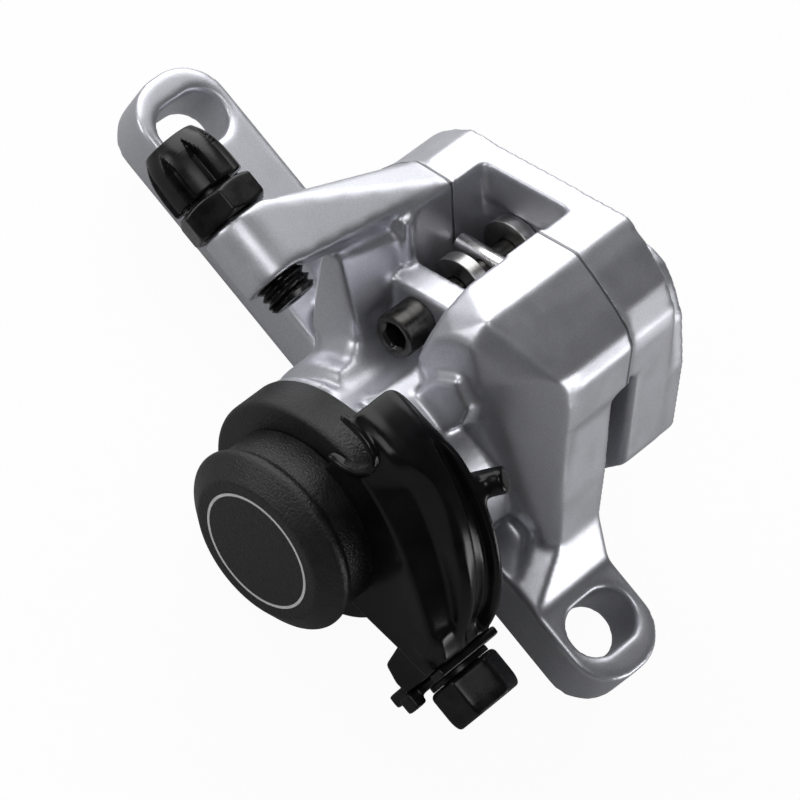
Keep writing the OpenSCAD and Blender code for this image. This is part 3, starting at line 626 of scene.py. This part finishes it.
# Skin of a field: one point in each cell that the skin crosses, at the mean of its edge crossings
def skinOf(field, lo, cell):
    n = np.array(field.shape)
    total = np.zeros((*(n - 1), 3), np.float32)
    count = np.zeros(n - 1, np.float32)
    quads = []
    where = np.indices(n - 1).astype(np.float32)
    index = np.full(n - 1, -1, np.int64)
    edges = []
    for axis in range(3):
        o1, o2 = [k for k in range(3) if k != axis]
        lowSide = [slice(None)] * 3
        highSide = [slice(None)] * 3
        lowSide[axis], highSide[axis] = slice(0, -1), slice(1, None)
        f0, f1 = field[tuple(lowSide)], field[tuple(highSide)]
        crosses = (f0 < 0) != (f1 < 0)
        t = np.where(crosses, f0 / np.where(crosses, f0 - f1, 1), 0)
        for i in (0, 1):
            for j in (0, 1):
                pick = [slice(None)] * 3
                pick[o1] = slice(i, i + n[o1] - 1)
                pick[o2] = slice(j, j + n[o2] - 1)
                hit = crosses[tuple(pick)].astype(np.float32)
                total[..., axis] += hit * t[tuple(pick)]
                total[..., o1] += hit * i
                total[..., o2] += hit * j
                count += hit
        edges.append((axis, o1, o2, crosses, f0 < 0))
    used = count > 0
    index[used] = np.arange(used.sum())
    verts = np.stack([(where[k] + total[..., k] / np.maximum(count, 1))[used] for k in range(3)], 1)
    for axis, o1, o2, crosses, inside in edges:
        at = np.argwhere(crosses)
        at = at[(at[:, o1] > 0) & (at[:, o2] > 0) & (at[:, o1] < n[o1] - 1) & (at[:, o2] < n[o2] - 1)]
        ring = []
        for i, j in ((0, 0), (1, 0), (1, 1), (0, 1)):
            q = at.copy()
            q[:, o1] -= i
            q[:, o2] -= j
            ring.append(index[tuple(q.T)])
        quad = np.stack(ring, 1)
        flip = inside[tuple(at.T)] ^ (axis == 1)
        quad[~flip] = quad[~flip][:, ::-1]
        quads.append(quad)
    return verts * cell + np.array(lo), np.concatenate(quads)


# The field is made in slabs along x, softened, and given the rolled edge of the mouth as a bead
def armSkin():
    s = armShape
    lo, cell = s["lo"], s["cell"]
    size = [int((hi - low) / cell) for low, hi in zip(lo, s["hi"])]
    x, y, z = (np.arange(n, dtype=np.float32) * cell + low for n, low in zip(size, lo))
    field = np.concatenate([armField(*np.meshgrid(slab, y, z, indexing="ij"))
                            for slab in np.array_split(x, s["slabs"])])
    field = softened(field, 2)
    i, j, k = (slice(int((a - low) / cell), int((b - low) / cell))
               for a, b, low in zip(s["beadLo"], s["beadHi"], lo))
    bx, by, bz = np.meshgrid(x[i], y[j], z[k], indexing="ij")
    bead = np.min([capsule(bx, by, bz, a, b, s["beadR"]) for a, b in zip(s["bead"], s["bead"][1:])], 0)
    field[i, j, k] = blendMin(field[i, j, k], bead, s["blend"]["bead"])
    return skinOf(softened(field, 1), lo, cell)


verts, quads = armSkin()
armMesh = meshOf("armShell", atPivot(verts) * mm, quads)
armShell = settle(linked("armShell", armMesh), "gloss_black", bodyOf("arm"))
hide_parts("arm")
print("stage: arm", len(quads), "cells")


# Dust cover: a shallow cup. In the outlines below a point is (radius, height, corner radius)
coverShape = dict(r=14.2, y0=-22.2, y1=-17.2, hole=6.3, wall=1.3)


# From the hole round the face, the outer wall and the inner one
def coverOutline():
    c = coverShape
    inR, inY = c["r"] - c["wall"], c["y0"] + c["wall"]
    return rounded([(c["hole"], c["y0"], 0.2), (c["r"], c["y0"], 0.7), (c["r"], c["y1"], 0.15),
                    (inR, c["y1"], 0.1), (inR, inY, 0.3), (c["hole"], inY, 0.1)])


cover = lathe("coverShell", coverOutline(), "black_plastic", bodyOf("dust_cover"), atPivot)
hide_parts("dust_cover")


# Cap: a domed rim, a neck, and a printed ring in a groove of its face
capShape = dict(y=-30.5, faceR=9.0, rimR=11.6, rimY=(1.95, 2.8), neckR=10.9, neckY=3.5, wall=1.2, hollow=1.6,
                back=-22.35, ringR=7.35, ringHalf=0.19, ringDeep=0.06)
printShape = dict(half=0.17, low=0.005, high=0.09)
printFinish = dict(metallic=0, dark=(0.62, 0.62, 0.62), light=(0.72, 0.72, 0.72), rough=(0.4, 0.5),
                   grainPerMm=3, cloudPerMm=0.6, bump=0.1, bumpMm=0.01)


# From the middle of the face over the ring's groove, the rim and the neck, and back inside
def capOutline():
    c = capShape
    y, neck = c["y"], c["neckR"] - c["wall"]
    ringIn, ringOut = c["ringR"] - c["ringHalf"], c["ringR"] + c["ringHalf"]
    return rounded([(0, y), (ringIn, y, 0.03), (ringIn, y + c["ringDeep"]), (ringOut, y + c["ringDeep"]),
                    (ringOut, y, 0.03), (c["faceR"], y, 0.35), (c["rimR"], y + c["rimY"][0], 0.5),
                    (c["rimR"], y + c["rimY"][1], 0.35), (c["neckR"], y + c["neckY"], 0.35),
                    (c["neckR"], c["back"], 0.2), (neck, c["back"], 0.1), (neck, y + c["hollow"], 0.2),
                    (0, y + c["hollow"])])


# A flat band in the ring's groove
def ringOutline():
    p = printShape
    r, y = capShape["ringR"], capShape["y"]
    return [(r - p["half"], y + p["low"]), (r + p["half"], y + p["low"]),
            (r + p["half"], y + p["high"]), (r - p["half"], y + p["high"])]


capPiece = lathe("capShell", capOutline(), "black_plastic", bodyOf("cap"), atPivot)
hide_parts("cap")
capRing = lathe("capRing", ringOutline(), "black_plastic", bodyOf("cap"), atPivot, steps=240)
capRing.data.materials[0] = finish("ringPaint", printFinish)


# Cable adjuster: fluted grip with a domed end, socket, thread and cable hole
gripShape = dict(r=4.6, base=4.0, tip=11.2, socketR=2.6, socketEnd=3.2, hole=0.9, end=-11.0,
                 flutes=8, fluteDepth=0.95, fluteTurn=0.2, fluteFrom=0.7, fluteRise=2.6, fluteWidth=0.42,
                 fluteSteep=1.7, threadR=3.0, threadTop=-7.4, threadDepth=0.5, threadSteep=1.25,
                 threadFlat=0.1, pitch=1.0, spacing=0.11)


# From the socket's mouth over the dome, the grip and the thread, and back through the cable hole
def gripOutline():
    g = gripShape
    socket, r, tip, thread, end = g["socketR"], g["r"], g["tip"], g["threadR"], g["end"]
    return dense(rounded([(socket, tip), (socket + 0.6, tip - 0.02, 0.3), (r - 0.35, tip - 1.9, 1.9),
                          (r, tip - 4.4, 1.5), (r, g["base"], 0.35), (thread, g["base"]),
                          (thread, g["threadTop"]), (thread, end + 0.55, 0.1), (thread - 0.55, end, 0.1),
                          (g["hole"], end, 0.15), (g["hole"], g["socketEnd"]),
                          (socket, g["socketEnd"])]), g["spacing"])


# r - flute - thread. A flute is deep where off, the distance from its land, is near 1, and it starts
# below the tip. The thread is a triangle wave of height / pitch + turn
def gripRadius(r, h, u):
    g = gripShape
    onGrip = (h > g["base"] - 0.01) & (r > g["socketR"] + 0.3)
    pitchOf = 2 * np.pi / g["flutes"]
    off = np.abs(((u - g["fluteTurn"]) / pitchOf) % 1 - 0.5) * 2
    rise = np.clip((g["tip"] - g["fluteFrom"] - h) / g["fluteRise"], 0, 1)
    width = g["fluteWidth"] * rise
    narrow = np.clip((off - (1 - width)) / (width + 1e-6), 0, 1)
    flute = g["fluteDepth"] * rise * np.minimum(1, narrow * g["fluteSteep"])
    wave = np.abs(((h / g["pitch"] + u / (2 * np.pi)) % 1) - 0.5) * 2
    thread = g["threadDepth"] * np.clip(wave * g["threadSteep"] - g["threadFlat"], 0, 1)
    onThread = (r > g["threadR"] - 0.1) & (h < g["threadTop"]) & (h > g["end"] + 0.5)
    return r - np.where(onGrip, flute, 0) - np.where(onThread, thread, 0)


grip = lathe("adjusterGrip", gripOutline(), "black_alloy", bodyOf("barrel_adjuster"), atBarrel,
             steps=200, shape=gripRadius, sharpDeg=40)
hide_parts("barrel_adjuster")


# Lock nut: hexagon cut by a chamfer cone at both ends
nutShape = dict(apothem=4.5, outer=5.19, low=0.05, high=3.45, hole=3.05, slope=1.9, corner=70, turn=0.35,
                chamfer=0.05, sharpness=40, spacing=0.12)


# A plain ring whose outer radius is past the hexagon's corners
def nutOutline():
    n = nutShape
    return dense(rounded([(n["hole"], n["low"], 0.15), (n["outer"], n["low"]), (n["outer"], n["high"]),
                          (n["hole"], n["high"], 0.15)]), n["spacing"])


# The smaller of the hexagon and the cone, whose radius is apothem - chamfer + slope * (height from the end)
def nutRadius(r, h, u):
    n = nutShape
    edge = np.minimum(h - n["low"], n["high"] - h)
    small = n["apothem"] - n["chamfer"]
    flats = hexRadius(u, n["apothem"], n["corner"], n["turn"])
    body = easedMin(flats, small + n["slope"] * edge, n["sharpness"])
    return np.where(r > n["apothem"], body, np.minimum(r, small))


nut = lathe("lockNutPiece", nutOutline(), "black_alloy", bodyOf("barrel_lock_nut"), atBarrel,
            steps=240, shape=nutRadius, sharpDeg=45)
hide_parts("barrel_lock_nut")


# Clamp bolt: hexagon with soft corners, a domed end and a socket
boltShape = dict(apothem=4.0, low=1.83, high=7.0, socket=2.31, depth=3.0, threadR=2.5, end=-6.0, corner=26,
                 socketCorner=60, turn=0.15, spacing=0.2)


# From the socket's floor over the head's dome to the end of the thread
def boltOutline():
    b = boltShape
    head, floorY = b["apothem"] + 0.1, b["high"] - b["depth"]
    return dense(rounded([(0, floorY), (b["socket"], floorY), (b["socket"], b["high"] - 0.5),
                          (b["socket"] + 0.45, b["high"] - 0.05, 0.1), (head, b["high"], 1.9),
                          (head, b["low"], 0.8), (b["threadR"], b["low"]), (b["threadR"], b["end"], 0.3),
                          (0, b["end"])], 6), b["spacing"])


# Round radii times a unit hexagon on the head, and a hexagon of its own in the socket
def boltRadius(r, h, u):
    b = boltShape
    head = (h > b["low"] - 0.01) & (r > b["threadR"] + 0.01)
    hexed = r * hexRadius(u, 1.0, b["corner"], b["turn"])
    socket = hexRadius(u, b["socket"], b["socketCorner"], b["turn"])
    inside = (np.abs(r - b["socket"]) < 0.005) & (h > b["low"])
    return np.where(inside, socket, np.where(head, hexed, r))


bolt = lathe("clampBoltPiece", boltOutline(), "black_alloy", bodyOf("clamp_bolt"), atClamp,
             steps=180, shape=boltRadius, sharpDeg=45)
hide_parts("clamp_bolt")


# Pad axle: socket head with a chamfer, shank and clip groove
axleShape = dict(y=-7.7, head=4.2, headR=2.7, shankR=1.5, socket=1.5, depth=2.4, end=20.85, grooveR=1.1,
                 groove=(19.63, 20.27), corner=60, turn=0.3, spacing=0.6)


# From the axle's own line, up the leaning pads from the pad axis, to the row frame
def atAxle(v):
    a = math.radians(place["padLean"])
    at = np.array([-place["axleUp"] * math.sin(a), 0, place["axleUp"] * math.cos(a)])
    return atPivot(np.asarray(v) + at)


# From the socket's floor over the head, down the shank past the clip's groove to the end
def axleOutline():
    a = axleShape
    y, shank, socket = a["y"], a["shankR"], a["socket"]
    low, high = a["groove"]
    return dense(rounded([(0, y + a["depth"] + 0.4), (socket, y + a["depth"]), (socket, y + 0.35),
                          (socket + 0.42, y + 0.02, 0.05), (a["headR"], y, 0.35),
                          (a["headR"], y + a["head"], 0.15), (shank, y + a["head"]), (shank, low),
                          (a["grooveR"], low), (a["grooveR"], high), (shank, high),
                          (shank, a["end"], 0.3), (0, a["end"])], 4), a["spacing"])


# A hexagon in the socket, round elsewhere
def axleRadius(r, h, u):
    a = axleShape
    inside = (np.abs(r - a["socket"]) < 0.005) & (h < a["y"] + a["head"])
    return np.where(inside, hexRadius(u, a["socket"], a["corner"], a["turn"]), r)


axle = lathe("axlePiece", axleOutline(), "dark_steel", bodyOf("pad_axle"), atAxle,
             steps=120, shape=axleRadius, sharpDeg=40)
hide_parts("pad_axle")


# Small pieces straight from the CAD, with rounded edges
plateCast = dict(cell=0.14, evenPasses=2, evenShare=0.5, passes=12, roundPasses=12, fill=0.5, ease=0.5)
castSkin("clamp_plate", "clampPlatePiece", plateCast, lambda p: np.ones(len(p)))
edges = dict(arm_nut=0.15, arm_washer=0.12, clamp_washer=0.1,
             outer_pad_plate=0.15, inner_pad_plate=0.15, outer_lining=0.15, inner_lining=0.15,
             axle_clip=0.1, inner_adjuster=0.2, ramp_spindle=0.1, fixed_ramp=0.1)
for node, radius in edges.items():
    refined(node, radius)

# The return spring gets rounded edges, and the pad spring is cut at its fold into two halves
springShape = dict(seatY=-3.02, length=2.58, stroke=1.1, foldY=8.2, leg=3.25, edge=0.05, sharpDegrees=30)
coil = refined("return_spring", springShape["edge"])
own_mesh(coil)


# The half of the pad spring on one side of its fold, with the cut closed
def springHalf(name, side):
    s = springShape
    fold = (0, s["foldY"] * mm, 0)
    half = mergedCopy("pad_spring", name)
    work = bmesh.new()
    work.from_mesh(half.data)
    cut = bmesh.ops.bisect_plane(work, geom=work.verts[:] + work.edges[:] + work.faces[:], plane_co=fold,
                                 plane_no=(0, -side, 0), clear_outer=True)
    bmesh.ops.edgenet_fill(work, edges=[e for e in cut["geom_cut"] if isinstance(e, bmesh.types.BMEdge)])
    bmesh.ops.recalc_face_normals(work, faces=work.faces)
    work.to_mesh(half.data)
    work.free()
    settle(half, slotOf["pad_spring"], bodyOf("pad_spring"))
    half.data.set_sharp_from_angle(angle=math.radians(s["sharpDegrees"]))
    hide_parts("pad_spring")
    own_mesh(half)


springHalf("padSpringOuter", -1)
springHalf("padSpringInner", 1)
for node, obj in nodes.items():
    obj.data.materials.clear()
    obj.data.materials.append(looks[slotOf[node]])
print("stage: small pieces", len(edges))


# Floor, lamps and camera
floorShape = dict(tones=((0.38, 0.38, 0.38), (0.44, 0.44, 0.44)), grainPerMm=0.4, grain=(2, 0.5),
                  glow=1.06, share=0.9,        # strength of the white glow and its share of the floor
                  size=6, drop=0.0004)         # metres, and how far it lies below the caliper


# Grey paint that takes the shadows, mixed with a white glow that only the camera sees
def floorPaint():
    s = floorShape
    mat = bpy.data.materials.new("floorPaint")
    mat.use_nodes = True
    tree = mat.node_tree
    tree.nodes.clear()
    out = tree.nodes.new("ShaderNodeOutputMaterial")
    both = tree.nodes.new("ShaderNodeMixShader")
    diffuse = tree.nodes.new("ShaderNodeBsdfDiffuse")
    glow = tree.nodes.new("ShaderNodeEmission")
    rays = tree.nodes.new("ShaderNodeLightPath")
    coords = tree.nodes.new("ShaderNodeTexCoord").outputs["Object"]
    noise = noiseOf(tree, coords, s["grainPerMm"], *s["grain"])
    link(tree, mixOf(tree, noise, *s["tones"]), diffuse.inputs["Color"])
    glow.inputs["Strength"].default_value = s["glow"]
    link(tree, mathOf(tree, "MULTIPLY", rays.outputs["Is Camera Ray"], s["share"]), both.inputs[0])
    link(tree, diffuse.outputs[0], both.inputs[1])
    link(tree, glow.outputs[0], both.inputs[2])
    link(tree, both.outputs[0], out.inputs[0])
    return mat


bpy.ops.mesh.primitive_plane_add(size=floorShape["size"], location=(0, 0, cadBox[0][2] - floorShape["drop"]))
floor = bpy.context.object
floor.name = "floor"
floor.data.materials.append(floorPaint())

worldLight = dict(colour=(1, 1, 1, 1), strength=0.07)  # a faint fill from all sides
world = bpy.data.worlds.new("studio")
bpy.context.scene.world = world
world.use_nodes = True
back = world.node_tree.nodes["Background"]
back.inputs["Color"].default_value = worldLight["colour"]
back.inputs["Strength"].default_value = worldLight["strength"]


# An object whose x, y and z axes and place are the columns of its matrix
def placed(name, data, columns):
    obj = linked(name, data)
    m = np.eye(4)
    m[:3, :4] = np.stack(columns, 1)
    obj.matrix_world = Matrix(m.tolist())
    return obj


# Places and sizes in metres, power in watts
lampAim = (0.004, -0.004, 0.012)
lamps = dict(
    keyLamp=dict(at=(-0.55, 0.24, 0.34), size=(1.1, 0.75), power=8),
    topLamp=dict(at=(-0.05, -0.3, 0.56), size=(0.24, 0.24), power=0.75),
    frontLamp=dict(at=(-0.45, -0.55, 0.14), size=(0.3, 0.3), power=1.3),
    rightLamp=dict(at=(0.6, 0.24, 0.09), size=(0.4, 0.17), power=1.3),
)


# A soft lamp aimed at the caliper: z = (at - aim) / length, x = up cross z, y = z cross x
def lamp(name, at, size, power):
    data = bpy.data.lights.new(name, "AREA")
    data.shape = "RECTANGLE"
    data.size, data.size_y = size
    data.energy = power
    d = np.array(at) - np.array(lampAim)
    zAxis = d / np.linalg.norm(d)
    xAxis = np.cross((0, 0, 1), zAxis)
    xAxis /= np.linalg.norm(xAxis)
    yAxis = np.cross(zAxis, xAxis)
    obj = placed(name, data, (xAxis, yAxis, zAxis, at))


for name, spec in lamps.items():
    lamp(name, **spec)

# The camera's right, down and forward rows, and the origin as it sees it, in millimetres:
# eye = -rows^T * shift
view = dict(rows=[[0.63112149, 0.67435189, 0.38332127], [0.77353665, -0.51041022, -0.3756627],
                  [-0.05767776, 0.53360185, -0.84376676]],
            shift=[-3.09965474, -0.70360755, 535.87508813],
            focalPixels=4618.11, widthPixels=800, sensor=36, far=20)
right, down, forward = np.array(view["rows"])
eye = -np.array(view["rows"]).T @ np.array(view["shift"]) * mm
cameraData = bpy.data.cameras.new("camera")
cameraData.sensor_width = view["sensor"]
cameraData.lens = view["focalPixels"] / view["widthPixels"] * view["sensor"]
cameraData.clip_end = view["far"]
bpy.context.scene.camera = placed("camera", cameraData, (right, -down, -forward, eye))
bpy.context.scene.view_settings.view_transform = "Standard"
print("stage: floor, lamps and camera")

print("stage: done")
